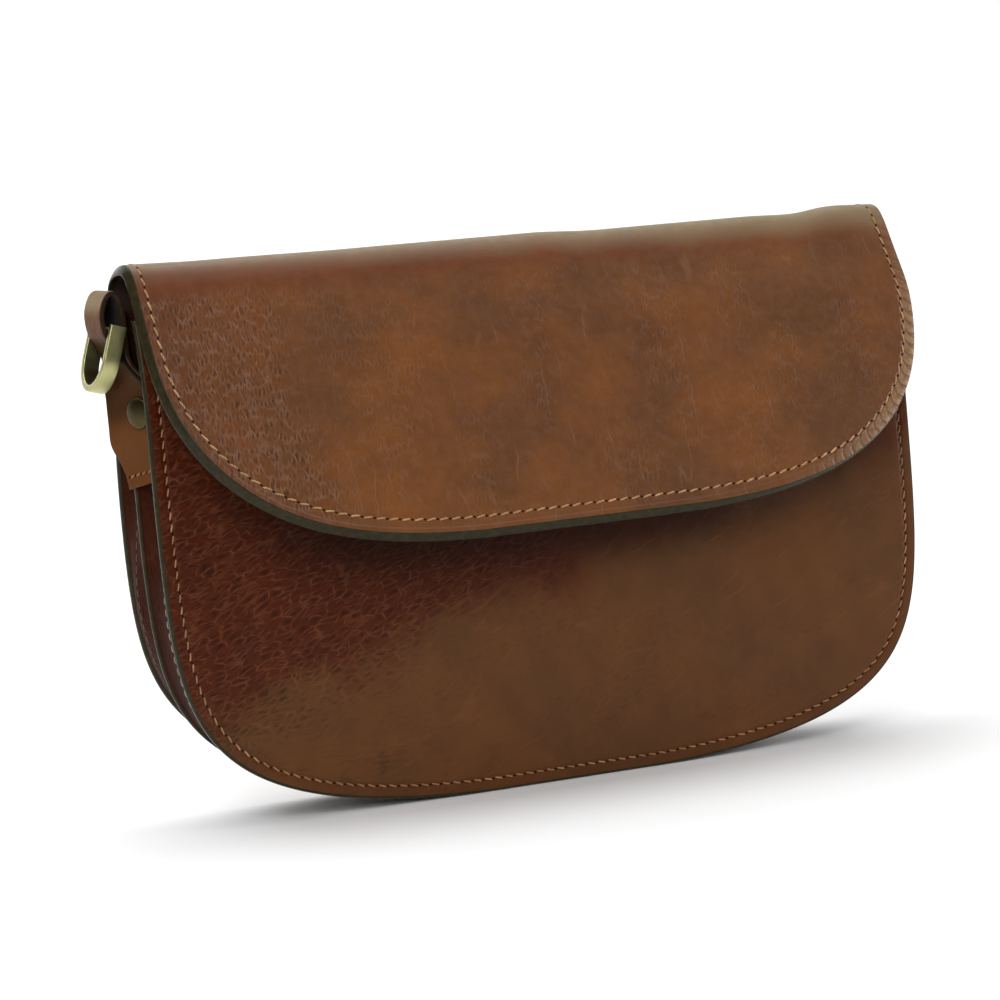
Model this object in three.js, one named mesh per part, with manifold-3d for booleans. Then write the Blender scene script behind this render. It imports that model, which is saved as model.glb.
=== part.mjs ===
// Leather shoulder bag: two compartments, a stiff sloping flap, and a brass ring on a tab at each side.
// Millimetres, +Z up, +X to the right seen from the front, front towards -Y, standing on z = 0.
import * as THREE from 'three';
import { mergeVertices } from 'three/addons/utils/BufferGeometryUtils.js';
import Module from 'manifold-3d';

const wasm = await Module();
wasm.setup();

// Driving dimensions
const GAP = 0.3; // clearance between neighbouring pieces
const PANEL_WALL = 2.6;
const DIVIDER_WALL = 2.0;
const GUSSET_WALL = 1.8;
const FLAP_WALL = 3.0;
const TAB_WALL = 1.5;
const HALF_WIDTH = 125; // body, side edge to middle
const FRONT_TOP = 150; // top edges of the upright pieces
const DIVIDER_TOP = 149;
const BACK_TOP = 152;
const GUSSET_TOP = 152;

// Rounded outlines. flat is how far the lowest point is pressed flat.
const FRONT_OUTLINE = { half: HALF_WIDTH, reach: 208, roundness: 10.85, swell: 2.79, flat: 0.35 };
const DIVIDER_OUTLINE = { half: HALF_WIDTH, reach: 208, roundness: 11.6, swell: 2, flat: 0.7 };
const BACK_OUTLINE = { half: HALF_WIDTH, reach: 208, roundness: 11, swell: 1.5, flat: 1.5 };
const FLAP_OUTLINE = { half: 124.8, reach: 60.8, roundness: 2.13, swell: 3.67, flat: 0.3 };

// Outer faces of the upright panels: y at the foot, slope, and how they bend above a height.
const FRONT_FACE = { foot: -5, lean: 0.035, bendStart: 120, bend: 0.0045 };
const DIVIDER_FACE = { foot: 11.3, lean: 0.035, bendStart: 100, bend: -0.0012 };
const BACK_FACE = { foot: 32, lean: 0, bendStart: 90, bend: -0.00194 };
const FRONT_BULGE = 4; // the front panel swells forward in its middle

// Gussets: step below the panels' edges, inward fold near the mouth, outward swell low down.
const SEAM_STEP = 0.6;
const STEP_RUN = 12; // height over which the step grows from the flat base
const FRONT_FOLD = { depth: 7, from: 60, to: 120 };
const REAR_FOLD = { depth: 4, from: 60, to: 130 };
const FRONT_SWELL = { depth: 0, from: 30, middle: 68, to: 106 };
const REAR_SWELL = { depth: 2, from: 30, middle: 68, to: 106 };

// Flap, outer face: from its sewn tail at the back, over the top and down the front.
const FLAP_PROFILE = [
  { y: 33.3, z: 122 },
  { y: 32.2, z: 130 },
  { y: 30.4, z: 140 },
  { y: 28.4, z: 150 },
  { y: 27.2, z: 157.5 },
  { y: 24, z: 161.7 },
  { y: 19, z: 163.9 },
  { y: 13, z: 164.6 },
  { y: 8.2, z: 163.3 },
  { y: 4.8, z: 159.6 },
  { y: 2.4, z: 155.6 },
  { y: -1.9, z: 147.8 },
  { y: -7.4, z: 138 },
  { y: -13.3, z: 125.5 },
  { y: -21, z: 110 },
  { y: -28, z: 95 },
  { y: -33.3, z: 82 },
];
// Waves of the flap's top fold, left to right; they fade out below it.
const TOP_LINE = [
  { x: -125, lift: 1.4 },
  { x: -98, lift: 0.7 },
  { x: -50, lift: 0.1 },
  { x: 8, lift: -0.2 },
  { x: 28, lift: -1.2 },
  { x: 80, lift: -1.4 },
  { x: 97, lift: -2 },
  { x: 110, lift: -0.5 },
  { x: 125, lift: -1.2 },
];
const WAVES = { from: 138, to: 160 };
const FLAP_FLARE = 0.9; // below the waves the under side stands out beyond the outer face

// Side tabs, middle of the leather: outer ply upwards, round the ring's bar, inner ply downwards.
// The left loop stands open and the right one lies close round its bar.
const LEFT_TAB_FOLD = [
  { out: 1.3, z: 102 },
  { out: 1.4, z: 109 },
  { out: 2.9, z: 115.5 },
  { out: 3, z: 121 },
  { out: 3, z: 130 },
  { out: 3.1, z: 138 },
  { out: 4.8, z: 142.5 },
  { out: 7.1, z: 147 },
  { out: 7.6, z: 152.6 },
  { out: 5.9, z: 157.2 },
  { out: 3.7, z: 158.2 },
  { out: 1.7, z: 155.4 },
  { out: 1.15, z: 149 },
  { out: 1.1, z: 134 },
  { out: 1.1, z: 118.5 },
];
const RIGHT_TAB_FOLD = [
  { out: 1.3, z: 96 },
  { out: 1.4, z: 103 },
  { out: 2.9, z: 109.5 },
  { out: 3, z: 115 },
  { out: 3, z: 124 },
  { out: 3.1, z: 131 },
  { out: 5.2, z: 135.6 },
  { out: 6.9, z: 139.8 },
  { out: 6.3, z: 143.2 },
  { out: 4.1, z: 144.7 },
  { out: 1.8, z: 143.4 },
  { out: 1.1, z: 140 },
  { out: 1.1, z: 128 },
  { out: 1.1, z: 112.5 },
];
// Across its width the left tab is level at the loop; lower down it turns and slants forward
// (degrees). The right tab hangs straight.
const LEFT_TAB_SHAPE = [
  { z: 101, y: 11.1, half: 6.6, turn: 24, roll: 7 },
  { z: 116, y: 12.2, half: 7.6, turn: 26, roll: 7 },
  { z: 128, y: 12.2, half: 7.6, turn: 26, roll: 7 },
  { z: 141, y: 16, half: 7.3, turn: 0, roll: 0 },
];
const RIGHT_TAB_SHAPE = [
  { z: 95, y: 19, half: 6.6, turn: 0, roll: 0 },
  { z: 110, y: 19, half: 7.3, turn: 0, roll: 0 },
];
const TAB_HINGE_Y = 15.2; // the turn is about the divider's edge

// Rivet through both plies of a tab
const RIVET_FACE = 3.75; // outer face of the tab there
const RIVET_HOLE = 1.9;
const RIVET_PROFILE = [
  { r: 0, h: -3.2 },
  { r: 1.6, h: -3.2 },
  { r: 1.6, h: 0 },
  { r: 4.4, h: 0 },
  { r: 4.7, h: 0.4 },
  { r: 4.4, h: 0.8 },
  { r: 3.4, h: 1.1 },
  { r: 0, h: 1.3 },
];

// Flat-band ring, closed at the top by a round bar, which is its axis
const RING_INNER = 8.05;
const RING_BAND = 2;
const RING_WIDTH = 5;
const RING_HEAD = 2; // legs above the bar's axis
const RING_LEG = 7.95; // straight legs below it
const RING_BEVEL = 0.3;
const BAR_RADIUS = 1.6;
const BAR_SINK = 0.5; // bar let into each leg

// The two sides: tab, rivet (across is off the tab's middle), ring's bar, and the ring's tilt in degrees.
const LEFT_SIDE = {
  name: 'left',
  side: -1,
  fold: LEFT_TAB_FOLD,
  shape: LEFT_TAB_SHAPE,
  rivet: { z: 122.6, across: -0.35 },
  bar: { out: 4.2, y: 16, z: 147 },
  tilt: 17,
};
const RIGHT_SIDE = {
  name: 'right',
  side: 1,
  fold: RIGHT_TAB_FOLD,
  shape: RIGHT_TAB_SHAPE,
  rivet: { z: 117, across: 0 },
  bar: { out: 4.2, y: 19, z: 140 },
  tilt: 17,
};

// Mesh fineness
const PANEL_ROWS = 18;
const PANEL_COLUMNS = 12;
const ROW_GRADING = 1.8; // rows crowd towards the rounded foot
const GUSSET_ROWS = 20;
const GUSSET_COLUMNS = 6;
const BASE_COLUMNS = 4;
const FLAP_BACK_ROWS = 16;
const FLAP_FRONT_ROWS = 14;
const FLAP_COLUMNS = 16;
const FLAP_SPLIT = 0.48;
const TAB_ROWS = 36;
const TAB_COLUMNS = 3;
const ROUND_SEGMENTS = 28;
const ARC_SEGMENTS = 20;

const leather = new THREE.MeshStandardMaterial({ color: '#6b3a22', roughness: 0.45, metalness: 0 });
const sideLeather = new THREE.MeshStandardMaterial({ color: '#4a241a', roughness: 0.5, metalness: 0 });
const tabLeather = new THREE.MeshStandardMaterial({ color: '#7d5036', roughness: 0.55, metalness: 0 });
const brass = new THREE.MeshStandardMaterial({ color: '#b5a878', roughness: 0.3, metalness: 1 });

const { smoothstep, lerp, degToRad } = THREE.MathUtils;

// Half width of a rounded outline at a height above its lowest point.
function halfWidthAt(outline, height) {
  const climbed = Math.min((height + outline.flat) / outline.reach, 1);
  const fullness = 1 - Math.pow(1 - climbed, outline.roundness);
  return outline.half * Math.pow(fullness, 1 / outline.swell);
}

function faceY(face, z) {
  const above = Math.max(z - face.bendStart, 0);
  return face.foot + face.lean * z + face.bend * above * above;
}

// Value of a table's column where its key column is at a given place.
function interpolate(table, key, place, column) {
  let row = 1;
  while (row < table.length - 1 && table[row][key] < place) row += 1;
  const before = table[row - 1];
  const after = table[row];
  return lerp(before[column], after[column], smoothstep(place, before[key], after[key]));
}

// Closed wall between two grids of points, outerAt(i, j) and innerAt(i, j).
function wallGeometry(rows, columns, outerAt, innerAt) {
  const positions = [];
  const index = [];
  const stride = columns + 1;
  const sheet = (rows + 1) * stride;
  for (const pointAt of [outerAt, innerAt]) {
    for (let i = 0; i <= rows; i += 1) {
      for (let j = 0; j <= columns; j += 1) positions.push(...pointAt(i, j));
    }
  }
  const quad = (a, b, c, d) => index.push(a, b, c, a, c, d);
  for (let i = 0; i < rows; i += 1) {
    for (let j = 0; j < columns; j += 1) {
      const a = i * stride + j;
      quad(a, a + 1, a + stride + 1, a + stride);
      quad(sheet + a, sheet + a + stride, sheet + a + stride + 1, sheet + a + 1);
    }
  }
  const rim = [];
  for (let j = 0; j < columns; j += 1) rim.push(j);
  for (let i = 0; i < rows; i += 1) rim.push(i * stride + columns);
  for (let j = columns; j > 0; j -= 1) rim.push(rows * stride + j);
  for (let i = rows; i > 0; i -= 1) rim.push(i * stride);
  rim.forEach((a, k) => {
    const b = rim[(k + 1) % rim.length];
    quad(a, sheet + a, sheet + b, b);
  });
  return facingOutwards(positions, index);
}

// Indexed geometry whose triangles all face outwards.
function facingOutwards(positions, index) {
  const corner = (k) => new THREE.Vector3().fromArray(positions, index[k] * 3);
  let volume = 0;
  for (let k = 0; k < index.length; k += 3) volume += corner(k).dot(corner(k + 1).cross(corner(k + 2)));
  if (volume < 0) index.reverse();
  const geometry = new THREE.BufferGeometry();
  geometry.setAttribute('position', new THREE.Float32BufferAttribute(positions, 3));
  geometry.setIndex(index);
  geometry.computeVertexNormals();
  return geometry;
}

function toManifold(geometry) {
  const bare = geometry.clone();
  bare.deleteAttribute('normal');
  bare.deleteAttribute('uv');
  const welded = mergeVertices(bare);
  const triangles = [];
  for (let k = 0; k < welded.index.count; k += 3) {
    const [a, b, c] = [0, 1, 2].map((step) => welded.index.getX(k + step));
    if (a !== b && b !== c && c !== a) triangles.push(a, b, c);
  }
  const mesh = new wasm.Mesh({
    numProp: 3,
    vertProperties: Float32Array.from(welded.attributes.position.array),
    triVerts: Uint32Array.from(triangles),
  });
  return new wasm.Manifold(mesh);
}

function fromManifold(solid) {
  const mesh = solid.getMesh();
  return facingOutwards(Array.from(mesh.vertProperties), Array.from(mesh.triVerts));
}

const bag = new THREE.Group();
bag.name = 'shoulder_bag';

function addPiece(name, geometry, material) {
  const piece = new THREE.Mesh(geometry, material);
  piece.name = name;
  bag.add(piece);
  return piece;
}

// Upright panels: front, divider and back. wall is measured backwards from the face.
function panelGeometry(outline, face, wall, top, bulge) {
  const pointAt = (depth) => (i, j) => {
    const z = top * Math.pow(i / PANEL_ROWS, ROW_GRADING);
    const across = (2 * j) / PANEL_COLUMNS - 1;
    const dome = (1 - across * across) * Math.sin((Math.PI * z) / top);
    const x = across * halfWidthAt(outline, z);
    return [x, faceY(face, z) - bulge * dome + depth, z];
  };
  return wallGeometry(PANEL_ROWS, PANEL_COLUMNS, pointAt(0), pointAt(wall));
}

addPiece(
  'front_panel',
  panelGeometry(FRONT_OUTLINE, FRONT_FACE, PANEL_WALL, FRONT_TOP, FRONT_BULGE),
  leather,
);
addPiece(
  'divider_panel',
  panelGeometry(DIVIDER_OUTLINE, DIVIDER_FACE, DIVIDER_WALL, DIVIDER_TOP, 0),
  leather,
);
addPiece('back_panel', panelGeometry(BACK_OUTLINE, BACK_FACE, -PANEL_WALL, BACK_TOP, 0), leather);

// Gussets: a strip along the outline, down the left side, under the base and up the right side.
function outlineStations(outline) {
  const side = [];
  for (let i = 0; i <= GUSSET_ROWS; i += 1) {
    const z = GUSSET_TOP * Math.pow(i / GUSSET_ROWS, ROW_GRADING);
    side.push({ x: halfWidthAt(outline, z), z });
  }
  const base = [];
  for (let k = 1; k < BASE_COLUMNS; k += 1) {
    base.push({ x: side[0].x * ((2 * k) / BASE_COLUMNS - 1), z: 0 });
  }
  const left = side.map((point) => ({ x: -point.x, z: point.z })).reverse();
  return [...left, ...base, ...side];
}

function foldInset(z, fold, swell) {
  const rising = smoothstep(z, swell.from, swell.middle);
  const falling = 1 - smoothstep(z, swell.middle, swell.to);
  return fold.depth * smoothstep(z, fold.from, fold.to) - swell.depth * rising * falling;
}

function gussetGeometry(frontOutline, backOutline, frontAt, backAt, fold, swell) {
  const frontStations = outlineStations(frontOutline);
  const backStations = outlineStations(backOutline);
  const last = frontStations.length - 1;
  const stationAt = (i, share) => {
    const front = frontStations[THREE.MathUtils.clamp(i, 0, last)];
    const back = backStations[THREE.MathUtils.clamp(i, 0, last)];
    return new THREE.Vector2(lerp(front.x, back.x, share), lerp(front.z, back.z, share));
  };
  const pointAt = (wall) => (i, j) => {
    const share = j / GUSSET_COLUMNS;
    const here = stationAt(i, share);
    const run = stationAt(i + 1, share).sub(stationAt(i - 1, share)).normalize();
    const step = SEAM_STEP * Math.min(here.y / STEP_RUN, 1);
    const inset = step + foldInset(here.y, fold, swell) * Math.sin(Math.PI * share) + wall;
    const x = here.x - run.y * inset;
    const z = here.y + run.x * inset;
    return [x, lerp(frontAt(z), backAt(z), share), z];
  };
  return wallGeometry(last, GUSSET_COLUMNS, pointAt(0), pointAt(GUSSET_WALL));
}

const frontInside = (z) => faceY(FRONT_FACE, z) + PANEL_WALL + GAP;
const dividerFront = (z) => faceY(DIVIDER_FACE, z) - GAP;
const dividerBack = (z) => faceY(DIVIDER_FACE, z) + DIVIDER_WALL + GAP;
const backInside = (z) => faceY(BACK_FACE, z) - PANEL_WALL - GAP;
addPiece(
  'front_gusset',
  gussetGeometry(FRONT_OUTLINE, DIVIDER_OUTLINE, frontInside, dividerFront, FRONT_FOLD, FRONT_SWELL),
  sideLeather,
);
addPiece(
  'rear_gusset',
  gussetGeometry(DIVIDER_OUTLINE, BACK_OUTLINE, dividerBack, backInside, REAR_FOLD, REAR_SWELL),
  sideLeather,
);

// Flap: the profile swept across the bag, with its lower corners rounded.
function flapGeometry() {
  const profile = new THREE.SplineCurve(FLAP_PROFILE.map(({ y, z }) => new THREE.Vector2(y, z)));
  const lowest = FLAP_PROFILE[FLAP_PROFILE.length - 1].z;
  const rows = FLAP_BACK_ROWS + FLAP_FRONT_ROWS;
  const along = (i) => {
    if (i <= FLAP_BACK_ROWS) return (FLAP_SPLIT * i) / FLAP_BACK_ROWS;
    const left = (rows - i) / FLAP_FRONT_ROWS;
    return 1 - (1 - FLAP_SPLIT) * left * left;
  };
  const pointAt = (depth) => (i, j) => {
    const point = profile.getPointAt(along(i));
    const run = profile.getTangentAt(along(i));
    const height = i > FLAP_BACK_ROWS ? Math.max(point.y - lowest, 0) : FLAP_OUTLINE.reach;
    const waving = smoothstep(point.y, WAVES.from, WAVES.to);
    const flare = FLAP_FLARE * (depth / FLAP_WALL) * (1 - waving);
    const x = (halfWidthAt(FLAP_OUTLINE, height) + flare) * ((2 * j) / FLAP_COLUMNS - 1);
    const lift = interpolate(TOP_LINE, 'x', x, 'lift') * waving;
    return [x, point.x - run.y * depth, point.y + run.x * depth + lift];
  };
  return wallGeometry(rows, FLAP_COLUMNS, pointAt(0), pointAt(FLAP_WALL));
}

addPiece('flap', flapGeometry(), leather);

// Side fittings: tab, rivet and ring.
// A point of a tab: out from the bag's side, across the tab's width (-1 to 1), at a height.
function tabPoint({ side, shape }, out, across, z) {
  const along = across * interpolate(shape, 'z', z, 'half');
  const turn = degToRad(interpolate(shape, 'z', z, 'turn'));
  const roll = degToRad(interpolate(shape, 'z', z, 'roll'));
  const y = interpolate(shape, 'z', z, 'y') + along * Math.cos(roll) * Math.cos(turn);
  const turned = out + (y - TAB_HINGE_Y) * Math.tan(turn);
  return new THREE.Vector3(side * (HALF_WIDTH + turned), y, z - along * Math.sin(roll));
}

function rivetPlacement(fitting) {
  const { z, across } = fitting.rivet;
  const turn = degToRad(interpolate(fitting.shape, 'z', z, 'turn'));
  const outward = new THREE.Vector3(fitting.side * Math.cos(turn), -Math.sin(turn), 0);
  const spin = new THREE.Quaternion().setFromUnitVectors(new THREE.Vector3(0, 1, 0), outward);
  const foot = tabPoint(fitting, RIVET_FACE, across, z).addScaledVector(outward, GAP);
  return { spin, foot };
}

function tabGeometry(fitting) {
  const fold = new THREE.SplineCurve(fitting.fold.map(({ out, z }) => new THREE.Vector2(out, z)));
  const pointAt = (depth) => (i, j) => {
    const point = fold.getPointAt(i / TAB_ROWS);
    const run = fold.getTangentAt(i / TAB_ROWS);
    const across = (2 * j) / TAB_COLUMNS - 1;
    return tabPoint(fitting, point.x + run.y * depth, across, point.y - run.x * depth).toArray();
  };
  const strip = wallGeometry(TAB_ROWS, TAB_COLUMNS, pointAt(TAB_WALL / 2), pointAt(-TAB_WALL / 2));
  const { spin, foot } = rivetPlacement(fitting);
  const drillLength = 4 * RIVET_FACE;
  const drill = new THREE.CylinderGeometry(RIVET_HOLE, RIVET_HOLE, drillLength, ROUND_SEGMENTS);
  drill.applyQuaternion(spin);
  drill.translate(foot.x, foot.y, foot.z);
  return fromManifold(toManifold(strip).subtract(toManifold(drill)));
}

function rivetGeometry() {
  const profile = RIVET_PROFILE.map(({ r, h }) => new THREE.Vector2(r, h));
  return fromManifold(toManifold(new THREE.LatheGeometry(profile, ROUND_SEGMENTS)));
}

// Ring about its bar: x outwards, y along the bar, z upwards.
function ringGeometry() {
  const outer = RING_INNER + RING_BAND;
  const band = new THREE.Shape();
  band.moveTo(-outer, RING_HEAD);
  band.lineTo(-outer, -RING_LEG);
  band.absarc(0, -RING_LEG, outer, Math.PI, 2 * Math.PI, false);
  band.lineTo(outer, RING_HEAD);
  band.lineTo(RING_INNER, RING_HEAD);
  band.lineTo(RING_INNER, -RING_LEG);
  band.absarc(0, -RING_LEG, RING_INNER, 2 * Math.PI, Math.PI, true);
  band.lineTo(-RING_INNER, RING_HEAD);
  band.closePath();
  const strip = new THREE.ExtrudeGeometry(band, {
    depth: RING_WIDTH - 2 * RING_BEVEL,
    curveSegments: ARC_SEGMENTS,
    bevelThickness: RING_BEVEL,
    bevelSize: RING_BEVEL,
    bevelOffset: -RING_BEVEL,
    bevelSegments: 1,
  });
  strip.translate(0, 0, RING_BEVEL - RING_WIDTH / 2);
  const upright = new THREE.Matrix4().makeBasis(
    new THREE.Vector3(0, 1, 0),
    new THREE.Vector3(0, 0, 1),
    new THREE.Vector3(1, 0, 0),
  );
  strip.applyMatrix4(upright);
  const barLength = 2 * (RING_INNER + BAR_SINK);
  const bar = new THREE.CylinderGeometry(BAR_RADIUS, BAR_RADIUS, barLength, ROUND_SEGMENTS);
  return fromManifold(toManifold(strip).add(toManifold(bar)));
}

for (const fitting of [LEFT_SIDE, RIGHT_SIDE]) {
  const { name, side, bar, tilt } = fitting;
  addPiece(`${name}_ring_tab`, tabGeometry(fitting), tabLeather);
  const { spin, foot } = rivetPlacement(fitting);
  const rivet = addPiece(`${name}_rivet`, rivetGeometry(), brass);
  rivet.quaternion.copy(spin);
  rivet.position.copy(foot);
  const ring = addPiece(`${name}_ring`, ringGeometry(), brass);
  ring.position.set(side * (HALF_WIDTH + bar.out), bar.y, bar.z);
  ring.rotation.y = -side * degToRad(tilt);
}

export default bag;
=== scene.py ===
import math

import bmesh
import bpy
import numpy as np
from mathutils import Matrix, Vector


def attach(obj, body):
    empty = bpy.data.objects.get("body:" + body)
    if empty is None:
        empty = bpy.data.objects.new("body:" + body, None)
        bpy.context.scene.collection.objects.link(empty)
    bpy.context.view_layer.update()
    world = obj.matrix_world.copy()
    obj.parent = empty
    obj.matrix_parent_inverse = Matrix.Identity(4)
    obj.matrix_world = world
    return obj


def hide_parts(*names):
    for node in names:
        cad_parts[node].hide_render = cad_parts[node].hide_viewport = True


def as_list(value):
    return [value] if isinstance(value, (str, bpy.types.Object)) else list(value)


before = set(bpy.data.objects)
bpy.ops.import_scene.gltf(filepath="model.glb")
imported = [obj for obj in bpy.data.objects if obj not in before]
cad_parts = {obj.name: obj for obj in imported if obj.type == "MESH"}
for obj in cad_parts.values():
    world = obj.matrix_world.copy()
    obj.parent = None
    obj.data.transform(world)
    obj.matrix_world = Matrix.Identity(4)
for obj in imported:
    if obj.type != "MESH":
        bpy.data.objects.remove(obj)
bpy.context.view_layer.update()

# Camera: a long lens a little above the bag and to its left, turned slightly so that the
# bag's right side stands higher in the picture.
LOOK_AT = Vector((-0.0183, -0.005, 0.0868))
LOOK_FROM = {"turn": math.radians(24), "rise": math.radians(5.81), "distance": 1.2}
CAMERA_ROLL = math.radians(4.41)
LENS_LENGTH, SENSOR_WIDTH = 145.1, 36
away = Vector((
    -math.sin(LOOK_FROM["turn"]) * math.cos(LOOK_FROM["rise"]),
    -math.cos(LOOK_FROM["turn"]) * math.cos(LOOK_FROM["rise"]),
    math.sin(LOOK_FROM["rise"]),
))
level = Vector((math.cos(LOOK_FROM["turn"]), -math.sin(LOOK_FROM["turn"]), 0))
upward = level.cross(-away)
picture_right = level * math.cos(CAMERA_ROLL) - upward * math.sin(CAMERA_ROLL)
picture_up = level * math.sin(CAMERA_ROLL) + upward * math.cos(CAMERA_ROLL)
lens = bpy.data.cameras.new("camera")
lens.sensor_width = SENSOR_WIDTH
lens.lens = LENS_LENGTH
camera = bpy.data.objects.new("camera", lens)
bpy.context.scene.collection.objects.link(camera)
camera.matrix_world = Matrix.Translation(LOOK_AT + away * LOOK_FROM["distance"]) @ Matrix((
    picture_right, picture_up, away)).transposed().to_4x4()
bpy.context.scene.camera = camera


# Front panel: one thick cut of brown leather with big round lower corners, swelling forward a
# little. It is sewn all round 4 mm from its edge, and the cut edge is rounded and painted grey.
MM = 0.001
HALF_WIDTH = 125
# An outline nears its full width at reach above its lowest edge; roundness and swell shape the
# corners, and flat gives the edge a short straight stretch.
FRONT_OUTLINE = {"half": HALF_WIDTH, "reach": 208, "roundness": 10.85, "swell": 2.79, "flat": 0.35}
FRONT_FACE = {"foot": -5, "lean": 0.035, "bend_start": 120, "bend": 0.0045}
FRONT_TOP = 150
FRONT_BULGE = 4
PANEL_WALL = 2.6
SEAM_IN = 4.0
FRONT_STITCH = 3.43
# The flap's front edge, which the shadow painted on this panel follows.
FLAP_OUTLINE = {"half": 124.8, "reach": 60.8, "roundness": 2.13, "swell": 3.67, "flat": 0.3}
FLAP_LOW_EDGE = 82


def half_width_at(outline, height):
    """Half the width of a round-cornered cut at a height above its lowest edge."""
    climbed = np.minimum((height + outline["flat"]) / outline["reach"], 1)
    fullness = 1 - (1 - climbed) ** outline["roundness"]
    return outline["half"] * fullness ** (1 / outline["swell"])


def face_depth(face, z):
    """How far back a panel's face lies at a height: it leans, and bends near its top."""
    above = np.maximum(z - face["bend_start"], 0)
    return face["foot"] + face["lean"] * z + face["bend"] * above ** 2


def evenly(points, count):
    """The same line with count points at equal steps along it."""
    points = np.asarray(points, float)
    steps = np.linalg.norm(np.diff(points, axis=0), axis=1)
    along = np.concatenate([[0], np.cumsum(steps)])
    wanted = np.linspace(0, along[-1], count)
    return np.stack([np.interp(wanted, along, points[:, k]) for k in range(points.shape[1])], 1)


def panel_cut(outline, top, count):
    """A panel's cut line from its top left corner down, along the base and up to the right."""
    closer_at_base = 2.2
    z = top * np.linspace(1, 0, 3000) ** closer_at_base
    x = half_width_at(outline, z)
    left = np.stack([-x, z], 1)
    return evenly(np.concatenate([left, left[::-1] * (-1, 1)]), count)


def inward(line):
    """Unit normals of a cut line, to its left, which is into the leather."""
    run = np.gradient(line, axis=0)
    run /= np.linalg.norm(run, axis=1)[:, None]
    return np.stack([-run[:, 1], run[:, 0]], 1)


def new_piece(name, points, faces, finishes, face_finish, uv=None, **marks):
    """A smooth mesh object from points in millimetres, with its faces turned outwards.

    marks are numbers kept at each point for the finish to read.
    """
    mesh = bpy.data.meshes.new(name)
    mesh.from_pydata((np.asarray(points) * MM).tolist(), [], faces)
    for finish in finishes:
        mesh.materials.append(finish)
    mesh.polygons.foreach_set("material_index", face_finish)
    mesh.polygons.foreach_set("use_smooth", [True] * len(faces))
    corners = np.zeros(len(mesh.loops), int)
    mesh.loops.foreach_get("vertex_index", corners)
    if uv is not None:
        layer = mesh.uv_layers.new(name="cut")
        layer.data.foreach_set("uv", np.asarray(uv)[corners].ravel())
    for mark, values in marks.items():
        layer = mesh.attributes.new(mark, "FLOAT", "POINT")
        layer.data.foreach_set("value", np.asarray(values, float))
    mesh.validate()
    shell = bmesh.new()
    shell.from_mesh(mesh)
    bmesh.ops.recalc_face_normals(shell, faces=shell.faces)
    shell.to_mesh(mesh)
    shell.free()
    piece = bpy.data.objects.new(name, mesh)
    bpy.context.scene.collection.objects.link(piece)
    return piece


NEAR_EDGE = (12, 9.5, 7.5, 6, 5.2, 4.6, 4.2, 3.8, 3.4, 2.8, 2.2, 1.7)
FAR_FROM_EDGE = 50


def leather_cut(name, line, centre, rim_profile, place, finishes, loops=26, cover=None, slope=1.0):
    """A cut of leather: its face, rounded edge and flesh side, from a cut line in the flat.

    rim_profile gives (distance in from the cut line, depth) over the edge, face to flesh, and slope
    scales that distance along the line. place(u, v, depth) sets a point of the flat cut into the bag.
    Loops of points run inside the cut line, closest together near the seam.
    """
    normals = inward(line)
    sloped = normals * np.reshape(slope, (-1, 1))
    steps = np.linalg.norm(np.diff(line, axis=0), axis=1)
    near = [d for d in NEAR_EDGE if d > rim_profile[0][0]]
    inner = line + normals * near[0]
    wall = rim_profile[-1][1]
    flat, rim, depth = [], [], []
    for share in np.linspace(0.015, 1, loops)[:-1] ** 0.8:
        flat.append(centre + (inner - centre) * share)
        rim.append(near[0] + (1 - share) * FAR_FROM_EDGE)
        depth.append(0)
    for distance in near:
        flat.append(line + normals * distance)
        rim.append(distance)
        depth.append(0)
    face_loops = len(flat)
    for distance, deep in rim_profile:
        flat.append(line + sloped * distance)
        rim.append(distance)
        depth.append(deep)
    for k in range(face_loops - 1, -1, -1):
        flat.append(flat[k])
        rim.append(rim[k])
        depth.append(wall)
    count, stations = len(flat), len(line)
    points = np.concatenate([place(f[:, 0], f[:, 1], d) for f, d in zip(flat, depth)])
    uv = np.concatenate(flat)
    rims = np.repeat(rim, stations)
    faces, kinds = [], []
    painted = range(face_loops, count - face_loops)
    for k in range(count - 1):
        kind = 0 if k < face_loops else 1 if k in painted or k + 1 in painted else 2
        for s in range(stations - 1):
            a = k * stations + s
            faces.append((a, a + 1, a + stations + 1, a + stations))
            kinds.append(kind)
    for s in (0, stations - 1):
        for k in range(count // 2 - 1 + count % 2):
            low, high = count - 1 - k, count - 2 - k
            if k + 1 < high:
                corners = (k, k + 1, high, low)
            else:
                corners = (k, k + 1, low)
            faces.append(tuple(i * stations + s for i in (corners if s == 0 else corners[::-1])))
            kinds.append(1)
    last = (count - 1) * stations
    faces += [tuple(range(stations - 1, -1, -1)), tuple(range(last, last + stations))]
    faces.append((stations - 1, 0, last, last + stations - 1))
    kinds += [0, 2, 1]
    marks = {"rim": rims, "along": np.tile(np.concatenate([[0], np.cumsum(steps)]), count)}
    if cover:
        marks["covered"] = cover(uv[:, 0], uv[:, 1])
    return new_piece(name, points, faces, finishes, kinds, uv, **marks)


def put(tree, kind, inputs=None, **settings):
    """Adds a shader node; inputs go to its sockets by name or number, as values or links."""
    node = tree.nodes.new(kind)
    for key, value in settings.items():
        setattr(node, key, value)
    for key, value in (inputs or {}).items():
        if isinstance(value, bpy.types.NodeSocket):
            tree.links.new(value, node.inputs[key])
        else:
            node.inputs[key].default_value = value
    return node


def sums(tree, operation, a, b=0.0, clamp=False):
    """One step of arithmetic between two numbers of a finish."""
    return put(tree, "ShaderNodeMath", {0: a, 1: b}, operation=operation, use_clamp=clamp).outputs[0]


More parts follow.
